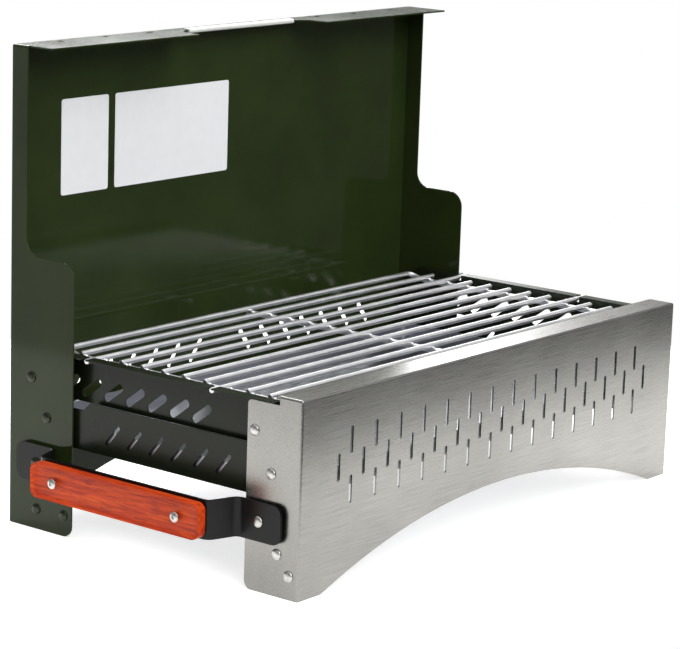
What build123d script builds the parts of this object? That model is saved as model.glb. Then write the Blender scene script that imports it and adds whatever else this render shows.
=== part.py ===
from build123d import *
import os

os.makedirs("parts", exist_ok=True)

# A folding charcoal grill that closes into a flat case. The rear panel is the windshield and half
# of the case, the front panel is the other half, and equal parallel links join them on both sides.
# X runs along the front, Y to the rear, Z up. The origin is on the floor under the middle.

# Driving dimensions of the case, in millimetres.
WIDTH = 450.0                 # across both panels
LINK_LENGTH = 205.0           # between the two pivots of every link
CASE_THICKNESS = 62.0         # depth of the closed case
FRONT_HEIGHT = 136.0          # of the front panel
SHEET = 1.2                   # panel sheet
BEND = 1.6                    # outer bend radius of the panels
VENT_CLIP = 0.3               # clipped corners of a punched vent, as a share of its width
WIRE_SIDES = 8                # flat sides that stand for a round wire
RIVET_SIDES = 12              # flat sides that stand for a small round fastener

# Front panel.
FRONT_TOP_FLANGE = 21.4       # depth of its top flange
FRONT_SIDE_FLANGE = 46.0      # depth of its side flanges
FRONT_FLANGE_CORNER = 6.0     # rounded lower rear corner
NOTCH_DEPTH = 27.0            # relief in the top rear corner, fore and aft
NOTCH_DROP = 6.5              # relief in the top rear corner, downwards
NOTCH_CORNER = 3.0
FRONT_VENT_LENGTH = 19.5
FRONT_VENT_WIDTH = 3.0
FRONT_VENT_PITCH = 26.5
FRONT_VENT_COUNT = 15         # in the middle row, the rows above and below have one less
FRONT_VENT_MIDDLE = 83.9      # height of the middle row
FRONT_VENT_ROW = 16.75        # between rows

# Arch in the lower edge of both panels.
ARCH_SPAN = 402.0
ARCH_RISE = 38.0

# Rear panel.
REAR_LOWER_FLANGE = 61.7      # depth of its side flanges up to the step
REAR_UPPER_FLANGE = 15.5      # depth of its side flanges above the step
REAR_TOP_FLANGE = 37.6        # depth of its top flange
STEP_HEIGHT = 195.0           # height of the step in the side flanges
STEP_RADIUS = 12.0            # both curves of the step
REAR_FLANGE_CORNER = 8.0      # rounded lower front corner
REAR_VENT_LENGTH = 21.4
REAR_VENT_WIDTH = 4.5
REAR_VENT_ANGLE = 52.6        # from level
REAR_VENT_PITCH = 24.6
REAR_VENT_COUNT = 7           # on each side of the middle
REAR_VENT_FIRST = 28.5        # middle of the panel to the first vent
REAR_VENT_HEIGHT = 94.5
HAND_CUT_WIDTH = 146.0        # hand cut-out in the top flange
HAND_CUT_LEDGE = 14.5         # strip of flange left behind it
HAND_CUT_RADIUS = 13.0
FLANGE_HOLE = 5.0             # small holes beside the hand cut-out
FLANGE_HOLE_PITCH = 46.0
FLANGE_HOLE_FIRST = 95.0      # middle of the panel to the first hole
FLANGE_HOLE_COUNT = 3
FLANGE_HOLE_INSET = 9.0       # from the rear face

# Edge trim of the hand cut-out, a U section pushed on the edge of the ledge.
TRIM_LENGTH = 119.0
TRIM_WALL = 0.9
TRIM_DEPTH = 4.0              # how far it grips over the ledge
TRIM_FIT = 0.1

# Blank labels on the inner face of the rear panel.
LABEL_THICKNESS = 0.3
LABEL_RADIUS = 2.0
LABEL_BOTTOM = 229.8
LABEL_HEIGHT = 68.7
SMALL_LABEL_WIDTH = 48.0
SMALL_LABEL_LEFT = 48.0       # from the left side of the panel
LARGE_LABEL_WIDTH = 124.0
LARGE_LABEL_LEFT = 103.0      # from the left side of the panel

# Pivots of the links on the front panel, from its face and from the floor.
# The rear ends of the links lie LINK_LENGTH behind them at the same height.
UPPER_PIVOT_DROP = 26.5       # below the top of the front panel
LOWER_PIVOT_DROP = 53.5       # below the top of the front panel
UPPER_PIVOT = (40.0, FRONT_HEIGHT - UPPER_PIVOT_DROP)
LOWER_PIVOT = (25.0, FRONT_HEIGHT - LOWER_PIVOT_DROP)
HANDLE_PIVOT = (31.5, 49.5)
FRONT_FIXED_RIVETS = ((18.5, 29.0), (8.0, 16.0))
REAR_FIXED_RIVETS = ((27.5, 14.5), (54.0, 15.0))   # from the rear face and from the floor

# Rivets, washers and spacers.
SHANK_RADIUS = 2.0
HEAD_RADIUS = 3.9
HEAD_HEIGHT = 1.8
HEAD_TAPER = 40.0             # slope of the heads, from upright
TAIL_RADIUS = 3.0
TAIL_HEIGHT = 0.6
SPACER_RADIUS = 3.5
FIXED_FIT = 0.05              # radial, rivet in the panel that holds it
RUNNING_FIT = 0.08            # radial, rivet in a link
SIDE_FIT = 0.1                # along the pivot, between a link and what it runs against

# Links, placed by how far their outer face lies inside the outer face of the flange.
RAIL_SHEET = 1.0
UPPER_WALL_INSET = 10.0
LOWER_WALL_INSET = 4.0

# Upper side rails, which carry the cooking grate.
UPPER_RAIL_LOW = 12.0         # below the pivots
UPPER_RAIL_HIGH = 20.3        # above the pivots, top of the lip
LIP_INSET = 1.6               # outer edge of the lip, inside the outer face of the flange
LIP_TURN = 5.0                # short down-turned front end of the lip
LIP_TAIL = 5.0                # the lip stops this far before the rear pivot
UPPER_RAIL_FRONT = 14.0       # past the front pivot
UPPER_RAIL_TAIL = 11.0        # past the rear pivot
UPPER_TAIL_DROP = 12.0        # how far the tail is cut down
RAIL_CORNER = 5.0
UPPER_VENT_LENGTH = 20.8
UPPER_VENT_WIDTH = 6.0
UPPER_VENT_ANGLE = 37.0       # from level, rising to the front
UPPER_VENT_PITCH = 20.3
UPPER_VENT_COUNT = 7
UPPER_VENT_FIRST = 29.1       # front pivot to the first vent
UPPER_VENT_DROP = 1.25        # below the pivots

# Lower side rails, which carry the charcoal tray.
LOWER_RAIL_LOW = 18.0         # below the pivots
LOWER_RAIL_HIGH = 16.5        # above the pivots
LOWER_RAIL_FRONT = 14.8       # past the front pivot
LOWER_RAIL_TAIL = 29.0        # past the rear pivot
LOWER_RAIL_CORNER = 8.0
RELIEF_HIGH = 10.5            # above the pivots, under the upper spacer when folded
RELIEF_START = 31.5           # before the rear pivot
RELIEF_SLOPE = 6.0
SHELF_WIDTH = 12.0            # inward flange under the tray
SHELF_INSET = 11.5            # its rear end, from the end of the rail
LOWER_VENT_LENGTH = 19.1
LOWER_VENT_WIDTH = 3.0
LOWER_VENT_ANGLE = 49.5       # from level, rising to the front
LOWER_VENT_PITCH = 20.2
LOWER_VENT_COUNT = 6
LOWER_VENT_FIRST = 44.8       # front pivot to the first vent
LOWER_VENT_DROP = 2.75        # below the pivots

# Charcoal tray, an open pan.
TRAY_SHEET = 1.0
TRAY_GAP = 1.3                # between the rails and the tray
TRAY_SEAT = 0.1               # between the shelf and the tray
TRAY_FRONT = 14.0             # past the front pivot
TRAY_TAIL = 25.0              # past the rear pivot
TRAY_DEPTH = 15.4
TRAY_CORNER = 5.0

# Cooking grate, welded wire.
WIRE = 4.0
WELD = 0.4                    # how far crossing wires sink into each other
BAR_PITCH = 19.15
BAR_COUNT = 11                # the rearmost is the back of the frame
SHORT_BAR_INSET = 20.0        # ends, inside the outer face of the flange
LONG_BARS = (2, 8)            # counted from the front bar, they rest in the rails
LONG_BAR_INSET = 5.0          # ends, inside the outer face of the flange
FRAME_TAIL = 9.0              # back of the frame, before the rear pivot
BAR_OVERHANG = 5.0            # of the short bars, past the middle of the side wires
FRAME_BEND = 6.0
FRAME_RISE_RUN = 12.0         # length over which a side wire rises to the back
WIRE_OVERHANG = 4.0           # of the wires underneath, past the outer bars
GRATE_TOP_DROP = 0.4          # top of the bars, below the lip
BAR_FIT = 0.4                 # beside a long bar in its notch
BAR_SEAT = 0.1                # under a long bar in its notch

# Side handles.
BRACKET_SHEET = 2.0
BRACKET_HEIGHT = 27.0
BRACKET_GAP = 2.1             # between the flange and the bracket, over the rivet heads
BRACKET_REACH = 24.0          # flange to the inside of the outer plate
BRACKET_BEND = 3.0
TAB_END = 19.0                # past the pivot
TAB_ROOT = 17.5               # pivot to the outer face of the arm
TAB_CORNER = 8.0
GRIP_LENGTH = 160.0
GRIP_HEIGHT = 25.5
GRIP_THICKNESS = 9.0
GRIP_CORNER = 6.0
GRIP_EDGE = 2.0
GRIP_SCREW_SPACING = 115.0
SCREW_SHANK = 1.9
SCREW_HEAD = 3.6
SCREW_HEAD_HEIGHT = 1.2
SCREW_NUT = 3.2
SCREW_NUT_HEIGHT = 2.2

# Worked out from the driving dimensions.
DEPTH = LINK_LENGTH + CASE_THICKNESS
REAR_HEIGHT = FRONT_HEIGHT + LINK_LENGTH
FRONT_Y = -DEPTH / 2
REAR_Y = DEPTH / 2
LEFT_X = -WIDTH / 2


def across(distance):
    """Y of a point that lies a distance behind the front face."""
    return FRONT_Y + distance


def side_plane(inset):
    """Plane parallel to the left flange, inside its outer face, with local Y and Z."""
    return Plane.YZ.offset(LEFT_X + inset)


def ends(pivot):
    """Front and rear pivot of a link, as Y and Z."""
    front = (across(pivot[0]), pivot[1])
    rear = (across(pivot[0] + LINK_LENGTH), pivot[1])
    return front, rear


def bend_edges(block, end):
    """Bends of a panel: two upright ones, one across the top and two beside the top."""
    edges = block.edges()
    upright = edges.filter_by(Axis.Z).group_by(Axis.Y)[end]
    top = edges.filter_by(Axis.X).group_by(Axis.Z)[-1].group_by(Axis.Y)[end]
    beside = edges.filter_by(Axis.Y).group_by(Axis.Z)[-1]
    return upright + top + beside


def round_section(centre, inset, radius, bore=0.0):
    """Section of a small round fastener on the left side, at an inset, with a bore if it has one."""
    with BuildSketch(side_plane(inset)) as section:
        with Locations(centre):
            RegularPolygon(radius, RIVET_SIDES)
            if bore:
                RegularPolygon(bore, RIVET_SIDES, mode=Mode.SUBTRACT)
    return section.sketch


def wire_section():
    """Section of a wire of the grate, with its flat sides level and upright."""
    RegularPolygon(WIRE / 2, WIRE_SIDES, major_radius=False, rotation=180 / WIRE_SIDES)


def arch_profile(face_y):
    """Arch in the lower edge of a panel whose outer face lies at face_y."""
    with BuildSketch(Plane.XZ.offset(-face_y)) as section:
        with BuildLine():
            ThreePointArc((-ARCH_SPAN / 2, 0), (0, ARCH_RISE), (ARCH_SPAN / 2, 0))
            Line((ARCH_SPAN / 2, 0), (-ARCH_SPAN / 2, 0))
        make_face()
    return section.sketch


def rivet_hole_profile(centres):
    """Holes of a side flange, shaped as the rivets that are fixed in them."""
    with BuildSketch(Plane.YZ) as section:
        with Locations(*centres):
            RegularPolygon(SHANK_RADIUS + FIXED_FIT, RIVET_SIDES)
    return section.sketch


UPPER_FRONT, UPPER_REAR = ends(UPPER_PIVOT)
LOWER_FRONT, LOWER_REAR = ends(LOWER_PIVOT)
HANDLE_FRONT, HANDLE_REAR = ends(HANDLE_PIVOT)
FRONT_FIXED = [(across(y), z) for y, z in FRONT_FIXED_RIVETS]
REAR_FIXED = [(REAR_Y - y, z) for y, z in REAR_FIXED_RIVETS]

# Front panel: face, top flange and two side flanges of one bent sheet.
with BuildPart() as front_panel:
    with BuildSketch(Plane.YZ) as outline:
        with BuildLine():
            Polyline(
                (FRONT_Y, 0),
                (across(FRONT_SIDE_FLANGE), 0),
                (across(FRONT_SIDE_FLANGE), FRONT_HEIGHT - NOTCH_DROP),
                (across(FRONT_SIDE_FLANGE - NOTCH_DEPTH), FRONT_HEIGHT - NOTCH_DROP),
                (across(FRONT_SIDE_FLANGE - NOTCH_DEPTH), FRONT_HEIGHT),
                (FRONT_Y, FRONT_HEIGHT),
                close=True,
            )
        make_face()
        fillet(outline.vertices().group_by(Axis.X)[-1].sort_by(Axis.Y)[0], FRONT_FLANGE_CORNER)
        fillet(outline.vertices().group_by(Axis.X)[-1].sort_by(Axis.Y)[-1], NOTCH_CORNER)
    extrude(amount=WIDTH / 2, both=True)
    fillet(bend_edges(front_panel, 0), BEND)
    with BuildSketch(Plane.XY):
        with Locations((0, FRONT_Y + SHEET)):
            Rectangle(WIDTH - 2 * SHEET, FRONT_SIDE_FLANGE, align=(Align.CENTER, Align.MIN))
    extrude(amount=FRONT_HEIGHT - SHEET, mode=Mode.SUBTRACT)
    with BuildSketch(Plane.XY.offset(FRONT_HEIGHT - SHEET)):
        with Locations((0, FRONT_Y + SHEET)):
            Rectangle(WIDTH - 2 * BEND, FRONT_TOP_FLANGE - SHEET, align=(Align.CENTER, Align.MIN))
    extrude(amount=SHEET)
    extrude(arch_profile(FRONT_Y), amount=2 * SHEET, both=True, mode=Mode.SUBTRACT)
    with BuildSketch(Plane.XZ.offset(-FRONT_Y)) as vents:
        with Locations((0, FRONT_VENT_MIDDLE)):
            with GridLocations(FRONT_VENT_PITCH, FRONT_VENT_ROW, FRONT_VENT_COUNT, 1):
                Rectangle(FRONT_VENT_WIDTH, FRONT_VENT_LENGTH)
            with GridLocations(FRONT_VENT_PITCH, 2 * FRONT_VENT_ROW, FRONT_VENT_COUNT - 1, 2):
                Rectangle(FRONT_VENT_WIDTH, FRONT_VENT_LENGTH)
        chamfer(vents.vertices(), VENT_CLIP * FRONT_VENT_WIDTH)
    extrude(amount=2 * SHEET, both=True, mode=Mode.SUBTRACT)
    holes = rivet_hole_profile([UPPER_FRONT, LOWER_FRONT, HANDLE_FRONT] + FRONT_FIXED)
    extrude(holes, amount=WIDTH, both=True, mode=Mode.SUBTRACT)
front_panel.part.label = "front_panel"

# Rear panel: back, top flange with the hand cut-out, and stepped side flanges.
with BuildPart() as rear_panel:
    with BuildSketch(Plane.YZ) as outline:
        with BuildLine():
            Polyline(
                (REAR_Y, 0),
                (REAR_Y - REAR_LOWER_FLANGE, 0),
                (REAR_Y - REAR_LOWER_FLANGE, STEP_HEIGHT),
                (REAR_Y - REAR_UPPER_FLANGE, STEP_HEIGHT),
                (REAR_Y - REAR_UPPER_FLANGE, REAR_HEIGHT),
                (REAR_Y, REAR_HEIGHT),
                close=True,
            )
        make_face()
        front_corners = outline.vertices().group_by(Axis.X)[0].sort_by(Axis.Y)
        step_corner = outline.vertices().group_by(Axis.X)[1].sort_by(Axis.Y)[0]
        fillet([front_corners[-1], step_corner], STEP_RADIUS)
        fillet(outline.vertices().group_by(Axis.X)[0].sort_by(Axis.Y)[0], REAR_FLANGE_CORNER)
    extrude(amount=WIDTH / 2, both=True)
    fillet(bend_edges(rear_panel, -1), BEND)
    with BuildSketch(Plane.XY):
        with Locations((0, REAR_Y - SHEET)):
            Rectangle(WIDTH - 2 * SHEET, REAR_LOWER_FLANGE, align=(Align.CENTER, Align.MAX))
    extrude(amount=REAR_HEIGHT - SHEET, mode=Mode.SUBTRACT)
    with BuildSketch(Plane.XY.offset(REAR_HEIGHT - SHEET)):
        with Locations((0, REAR_Y - SHEET)):
            Rectangle(WIDTH - 2 * BEND, REAR_TOP_FLANGE - SHEET, align=(Align.CENTER, Align.MAX))
    extrude(amount=SHEET)
    extrude(arch_profile(REAR_Y), amount=2 * SHEET, both=True, mode=Mode.SUBTRACT)
    with BuildSketch(Plane.XZ.offset(-REAR_Y)) as vents:
        for number in range(REAR_VENT_COUNT):
            vent_x = REAR_VENT_FIRST + number * REAR_VENT_PITCH
            with Locations((vent_x, REAR_VENT_HEIGHT)):
                Rectangle(REAR_VENT_LENGTH, REAR_VENT_WIDTH, rotation=-REAR_VENT_ANGLE)
            with Locations((-vent_x, REAR_VENT_HEIGHT)):
                Rectangle(REAR_VENT_LENGTH, REAR_VENT_WIDTH, rotation=REAR_VENT_ANGLE)
        chamfer(vents.vertices(), VENT_CLIP * REAR_VENT_WIDTH)
    extrude(amount=2 * SHEET, both=True, mode=Mode.SUBTRACT)
    with BuildSketch(Plane.XY.offset(REAR_HEIGHT)):
        with Locations((0, REAR_Y - HAND_CUT_LEDGE)):
            RectangleRounded(
                HAND_CUT_WIDTH,
                2 * (REAR_TOP_FLANGE - HAND_CUT_LEDGE),
                HAND_CUT_RADIUS,
                align=(Align.CENTER, Align.MAX),
            )
        hole_y = REAR_Y - FLANGE_HOLE_INSET
        for number in range(FLANGE_HOLE_COUNT):
            hole_x = FLANGE_HOLE_FIRST + number * FLANGE_HOLE_PITCH
            with Locations((hole_x, hole_y), (-hole_x, hole_y)):
                Circle(FLANGE_HOLE / 2)
    extrude(amount=-2 * SHEET, mode=Mode.SUBTRACT)
    holes = rivet_hole_profile([UPPER_REAR, LOWER_REAR, HANDLE_REAR] + REAR_FIXED)
    extrude(holes, amount=WIDTH, both=True, mode=Mode.SUBTRACT)
rear_panel.part.label = "rear_panel"

# Trim on the edge of the hand cut-out: a U section with a round nose.
trim_half = SHEET / 2 + TRIM_FIT + TRIM_WALL
trim_nose_y = REAR_Y - HAND_CUT_LEDGE - TRIM_FIT
with BuildPart() as hand_edge_trim:
    with BuildSketch(Plane.YZ.offset(-TRIM_LENGTH / 2)):
        with Locations((trim_nose_y, REAR_HEIGHT - SHEET / 2)):
            Rectangle(TRIM_DEPTH, 2 * trim_half, align=(Align.MIN, Align.CENTER))
            Circle(trim_half)
            Rectangle(
                TRIM_DEPTH,
                SHEET + 2 * TRIM_FIT,
                align=(Align.MIN, Align.CENTER),
                mode=Mode.SUBTRACT,
            )
    extrude(amount=TRIM_LENGTH)
hand_edge_trim.part.label = "hand_edge_trim"

# Blank labels.
label_plane = Plane.XZ.offset(-(REAR_Y - SHEET))
label_align = (Align.MIN, Align.MIN)
with BuildPart() as small_label:
    with BuildSketch(label_plane):
        with Locations((LEFT_X + SMALL_LABEL_LEFT, LABEL_BOTTOM)):
            RectangleRounded(SMALL_LABEL_WIDTH, LABEL_HEIGHT, LABEL_RADIUS, align=label_align)
    extrude(amount=LABEL_THICKNESS)
small_label.part.label = "small_label"

with BuildPart() as large_label:
    with BuildSketch(label_plane):
        with Locations((LEFT_X + LARGE_LABEL_LEFT, LABEL_BOTTOM)):
            RectangleRounded(LARGE_LABEL_WIDTH, LABEL_HEIGHT, LABEL_RADIUS, align=label_align)
    extrude(amount=LABEL_THICKNESS)
large_label.part.label = "large_label"

# Cooking grate: level bars welded on three wires. The two outer wires rise at the back and are
# bent round into the rearmost bar. Two long bars reach out into the notches of the rails.
grate_level = UPPER_PIVOT[1] + UPPER_RAIL_HIGH - GRATE_TOP_DROP - WIRE / 2
under_level = grate_level - WIRE + WELD
frame_back = UPPER_REAR[0] - FRAME_TAIL
bar_ys = [frame_back - (BAR_COUNT - 1 - number) * BAR_PITCH for number in range(BAR_COUNT - 1)]
wire_front = bar_ys[0] - WIRE_OVERHANG
wire_rear = frame_back + WIRE_OVERHANG
long_bar_ys = [bar_ys[number] for number in LONG_BARS]
short_bar_half = WIDTH / 2 - SHORT_BAR_INSET
frame_half = short_bar_half - BAR_OVERHANG

with BuildPart() as grate:
    with BuildLine() as frame_path:
        FilletPolyline(
            (-frame_half, wire_front, under_level),
            (-frame_half, frame_back - FRAME_RISE_RUN, under_level),
            (-frame_half, frame_back, grate_level),
            (frame_half, frame_back, grate_level),
            (frame_half, frame_back - FRAME_RISE_RUN, under_level),
            (frame_half, wire_front, under_level),
            radius=FRAME_BEND,
        )
    with BuildSketch(Plane(origin=frame_path.line @ 0, z_dir=frame_path.line % 0)):
        wire_section()
    sweep()
    for bar_y in bar_ys:
        bar_half = WIDTH / 2 - LONG_BAR_INSET if bar_y in long_bar_ys else short_bar_half
        with BuildSketch(Plane.YZ.offset(-bar_half)):
            with Locations((bar_y, grate_level)):
                wire_section()
        extrude(amount=2 * bar_half)
    with BuildSketch(Plane.XZ.offset(-wire_front)):
        with Locations((0, under_level)):
            wire_section()
    extrude(amount=wire_front - wire_rear)
grate.part.label = "grate"

# Upper side rail: slotted wall, and an outward lip on top with a short down-turned front end.
rail_top = UPPER_PIVOT[1] + UPPER_RAIL_HIGH
rail_bottom = UPPER_PIVOT[1] - UPPER_RAIL_LOW
rail_front = UPPER_FRONT[0] - UPPER_RAIL_FRONT
rail_tail = UPPER_REAR[0] + UPPER_RAIL_TAIL
lip_end = UPPER_REAR[0] - LIP_TAIL
lip_width = UPPER_WALL_INSET + RAIL_SHEET - LIP_INSET
with BuildPart() as upper_side_left:
    with BuildSketch(side_plane(UPPER_WALL_INSET)) as wall:
        with BuildLine():
            Polyline(
                (rail_front, rail_top),
                (lip_end, rail_top),
                (rail_tail, rail_top - UPPER_TAIL_DROP),
                (rail_tail, rail_bottom),
                (rail_front, rail_bottom),
                close=True,
            )
        make_face()
        fillet(wall.vertices().group_by(Axis.X)[-1], RAIL_CORNER)
        fillet(wall.vertices().group_by(Axis.X)[0].sort_by(Axis.Y)[0], RAIL_CORNER)
        with Locations(UPPER_FRONT, UPPER_REAR):
            Circle(SHANK_RADIUS + RUNNING_FIT, mode=Mode.SUBTRACT)
    extrude(amount=RAIL_SHEET)
    with BuildSketch(side_plane(UPPER_WALL_INSET)) as vents:
        for number in range(UPPER_VENT_COUNT):
            vent_y = UPPER_FRONT[0] + UPPER_VENT_FIRST + number * UPPER_VENT_PITCH
            with Locations((vent_y, UPPER_PIVOT[1] - UPPER_VENT_DROP)):
                Rectangle(UPPER_VENT_LENGTH, UPPER_VENT_WIDTH, rotation=-UPPER_VENT_ANGLE)
        chamfer(vents.vertices(), VENT_CLIP * UPPER_VENT_WIDTH)
    extrude(amount=RAIL_SHEET, mode=Mode.SUBTRACT)
    with BuildSketch(Plane.XY.offset(rail_top - RAIL_SHEET)):
        with Locations((LEFT_X + LIP_INSET, rail_front)):
            Rectangle(lip_width, lip_end - rail_front, align=(Align.MIN, Align.MIN))
    extrude(amount=RAIL_SHEET)
    with BuildSketch(Plane.XZ.offset(-rail_front)):
        with Locations((LEFT_X + LIP_INSET, rail_top)):
            Rectangle(lip_width, LIP_TURN, align=(Align.MIN, Align.MAX))
    extrude(amount=-RAIL_SHEET)
    notch_floor = grate_level - WIRE / 2 - BAR_SEAT
    with BuildSketch(Plane.XY.offset(notch_floor)):
        with Locations(*[(LEFT_X + LIP_INSET, bar_y) for bar_y in long_bar_ys]):
            Rectangle(lip_width, WIRE + 2 * BAR_FIT, align=(Align.MIN, Align.CENTER))
    extrude(amount=rail_top - notch_floor, mode=Mode.SUBTRACT)
upper_side_left.part.label = "upper_side_left"

with BuildPart() as upper_side_right:
    mirror(upper_side_left.part, about=Plane.YZ)
upper_side_right.part.label = "upper_side_right"

# Lower side rail: slotted wall, cut down near the rear pivot, with an inward shelf at the bottom.
shelf_level = LOWER_PIVOT[1] - LOWER_RAIL_LOW
lower_front_end = LOWER_FRONT[0] - LOWER_RAIL_FRONT
lower_rear_end = LOWER_REAR[0] + LOWER_RAIL_TAIL
relief_y = LOWER_REAR[0] - RELIEF_START
with BuildPart() as lower_side_left:
    with BuildSketch(side_plane(LOWER_WALL_INSET)) as wall:
        with BuildLine():
            Polyline(
                (lower_front_end, shelf_level),
                (lower_rear_end, shelf_level),
                (lower_rear_end, LOWER_PIVOT[1] + RELIEF_HIGH),
                (relief_y, LOWER_PIVOT[1] + RELIEF_HIGH),
                (relief_y - RELIEF_SLOPE, LOWER_PIVOT[1] + LOWER_RAIL_HIGH),
                (lower_front_end, LOWER_PIVOT[1] + LOWER_RAIL_HIGH),
                close=True,
            )
        make_face()
        fillet(wall.vertices().group_by(Axis.X)[0], LOWER_RAIL_CORNER)
        fillet(wall.vertices().group_by(Axis.X)[-1], LOWER_RAIL_CORNER)
        with Locations(LOWER_FRONT, LOWER_REAR):
            Circle(SHANK_RADIUS + RUNNING_FIT, mode=Mode.SUBTRACT)
    extrude(amount=RAIL_SHEET)
    with BuildSketch(side_plane(LOWER_WALL_INSET)) as vents:
        for number in range(LOWER_VENT_COUNT):
            vent_y = LOWER_FRONT[0] + LOWER_VENT_FIRST + number * LOWER_VENT_PITCH
            with Locations((vent_y, LOWER_PIVOT[1] - LOWER_VENT_DROP)):
                Rectangle(LOWER_VENT_LENGTH, LOWER_VENT_WIDTH, rotation=-LOWER_VENT_ANGLE)
        chamfer(vents.vertices(), VENT_CLIP * LOWER_VENT_WIDTH)
    extrude(amount=RAIL_SHEET, mode=Mode.SUBTRACT)
    shelf_length = lower_rear_end - lower_front_end - LOWER_RAIL_CORNER - SHELF_INSET
    with BuildSketch(Plane.XY.offset(shelf_level)):
        with Locations((LEFT_X + LOWER_WALL_INSET, lower_front_end + LOWER_RAIL_CORNER)):
            Rectangle(SHELF_WIDTH, shelf_length, align=(Align.MIN, Align.MIN))
    extrude(amount=RAIL_SHEET)
lower_side_left.part.label = "lower_side_left"

with BuildPart() as lower_side_right:
    mirror(lower_side_left.part, about=Plane.YZ)
lower_side_right.part.label = "lower_side_right"

# Charcoal tray: an open pan that lies on both shelves.
tray_width = WIDTH - 2 * (LOWER_WALL_INSET + RAIL_SHEET + TRAY_GAP)
tray_length = LINK_LENGTH + TRAY_FRONT + TRAY_TAIL
tray_middle = (0, LOWER_FRONT[0] - TRAY_FRONT + tray_length / 2)
tray_bottom = shelf_level + RAIL_SHEET + TRAY_SEAT
with BuildPart() as charcoal_tray:
    with BuildSketch(Plane.XY.offset(tray_bottom)):
        with Locations(tray_middle):
            RectangleRounded(tray_width, tray_length, TRAY_CORNER)
    extrude(amount=TRAY_DEPTH)
    with BuildSketch(Plane.XY.offset(tray_bottom + TRAY_SHEET)):
        with Locations(tray_middle):
            RectangleRounded(
                tray_width - 2 * TRAY_SHEET,
                tray_length - 2 * TRAY_SHEET,
                TRAY_CORNER - TRAY_SHEET,
            )
    extrude(amount=TRAY_DEPTH, mode=Mode.SUBTRACT)
charcoal_tray.part.label = "charcoal_tray"

# Side handle: a hat-shaped bracket whose rounded tabs turn on the flanges, and a wooden grip.
handle_bottom = HANDLE_PIVOT[1] - BRACKET_HEIGHT / 2
tab_x = LEFT_X - BRACKET_GAP
plate_x = LEFT_X - BRACKET_REACH
arm_front = HANDLE_FRONT[0] + TAB_ROOT
arm_rear = HANDLE_REAR[0] - TAB_ROOT
grip_middle = (HANDLE_FRONT[0] + HANDLE_REAR[0]) / 2
screw_ys = (grip_middle - GRIP_SCREW_SPACING / 2, grip_middle + GRIP_SCREW_SPACING / 2)
screw_centres = [(screw_y, HANDLE_PIVOT[1]) for screw_y in screw_ys]
with BuildPart() as handle_bracket_left:
    with BuildSketch(Plane.XY.offset(handle_bottom)):
        with BuildLine():
            FilletPolyline(
                (tab_x, HANDLE_FRONT[0] - TAB_END),
                (tab_x, arm_front + BRACKET_SHEET),
                (plate_x, arm_front + BRACKET_SHEET),
                (plate_x, arm_rear - BRACKET_SHEET),
                (tab_x, arm_rear - BRACKET_SHEET),
                (tab_x, HANDLE_REAR[0] + TAB_END),
                radius=BRACKET_BEND,
            )
            offset(amount=BRACKET_SHEET, side=Side.LEFT)
        make_face()
    extrude(amount=BRACKET_HEIGHT)
    fillet(handle_bracket_left.edges().filter_by(Axis.X).group_by(Axis.Y)[0], TAB_CORNER)
    fillet(handle_bracket_left.edges().filter_by(Axis.X).group_by(Axis.Y)[-1], TAB_CORNER)
    with BuildSketch(Plane.YZ.offset(tab_x)):
        with Locations(HANDLE_FRONT, HANDLE_REAR):
            Circle(SHANK_RADIUS + RUNNING_FIT)
    extrude(amount=2 * BRACKET_SHEET, both=True, mode=Mode.SUBTRACT)
    with BuildSketch(Plane.YZ.offset(plate_x)):
        with Locations(*screw_centres):
            Circle(SCREW_SHANK + FIXED_FIT)
    extrude(amount=2 * BRACKET_SHEET, both=True, mode=Mode.SUBTRACT)
handle_bracket_left.part.label = "handle_bracket_left"

with BuildPart() as handle_grip_left:
    with BuildSketch(Plane.YZ.offset(plate_x - BRACKET_SHEET)):
        with Locations((grip_middle, HANDLE_PIVOT[1])):
            RectangleRounded(GRIP_LENGTH, GRIP_HEIGHT, GRIP_CORNER)
        with Locations(*screw_centres):
            Circle(SCREW_SHANK + FIXED_FIT, mode=Mode.SUBTRACT)
    extrude(amount=-GRIP_THICKNESS)
    chamfer(handle_grip_left.faces().sort_by(Axis.X)[0].outer_wire().edges(), GRIP_EDGE)
handle_grip_left.part.label = "handle_grip_left"

# Grip screws: head on the wood, shank through the plate, round nut behind it.
grip_face = -(BRACKET_REACH + BRACKET_SHEET + GRIP_THICKNESS)
with BuildPart() as grip_screws_left:
    for centre in screw_centres:
        head = round_section(centre, grip_face, SCREW_HEAD)
        shank = round_section(centre, grip_face, SCREW_SHANK)
        nut = round_section(centre, -BRACKET_REACH, SCREW_NUT)
        extrude(head, amount=-SCREW_HEAD_HEIGHT, taper=HEAD_TAPER)
        extrude(shank, amount=-BRACKET_REACH - grip_face)
        extrude(nut, amount=SCREW_NUT_HEIGHT)
grip_screws_left.part.label = "grip_screws_left"

with BuildPart() as handle_bracket_right:
    mirror(handle_bracket_left.part, about=Plane.YZ)
handle_bracket_right.part.label = "handle_bracket_right"

with BuildPart() as handle_grip_right:
    mirror(handle_grip_left.part, about=Plane.YZ)
handle_grip_right.part.label = "handle_grip_right"

with BuildPart() as grip_screws_right:
    mirror(grip_screws_left.part, about=Plane.YZ)
grip_screws_right.part.label = "grip_screws_right"

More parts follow.
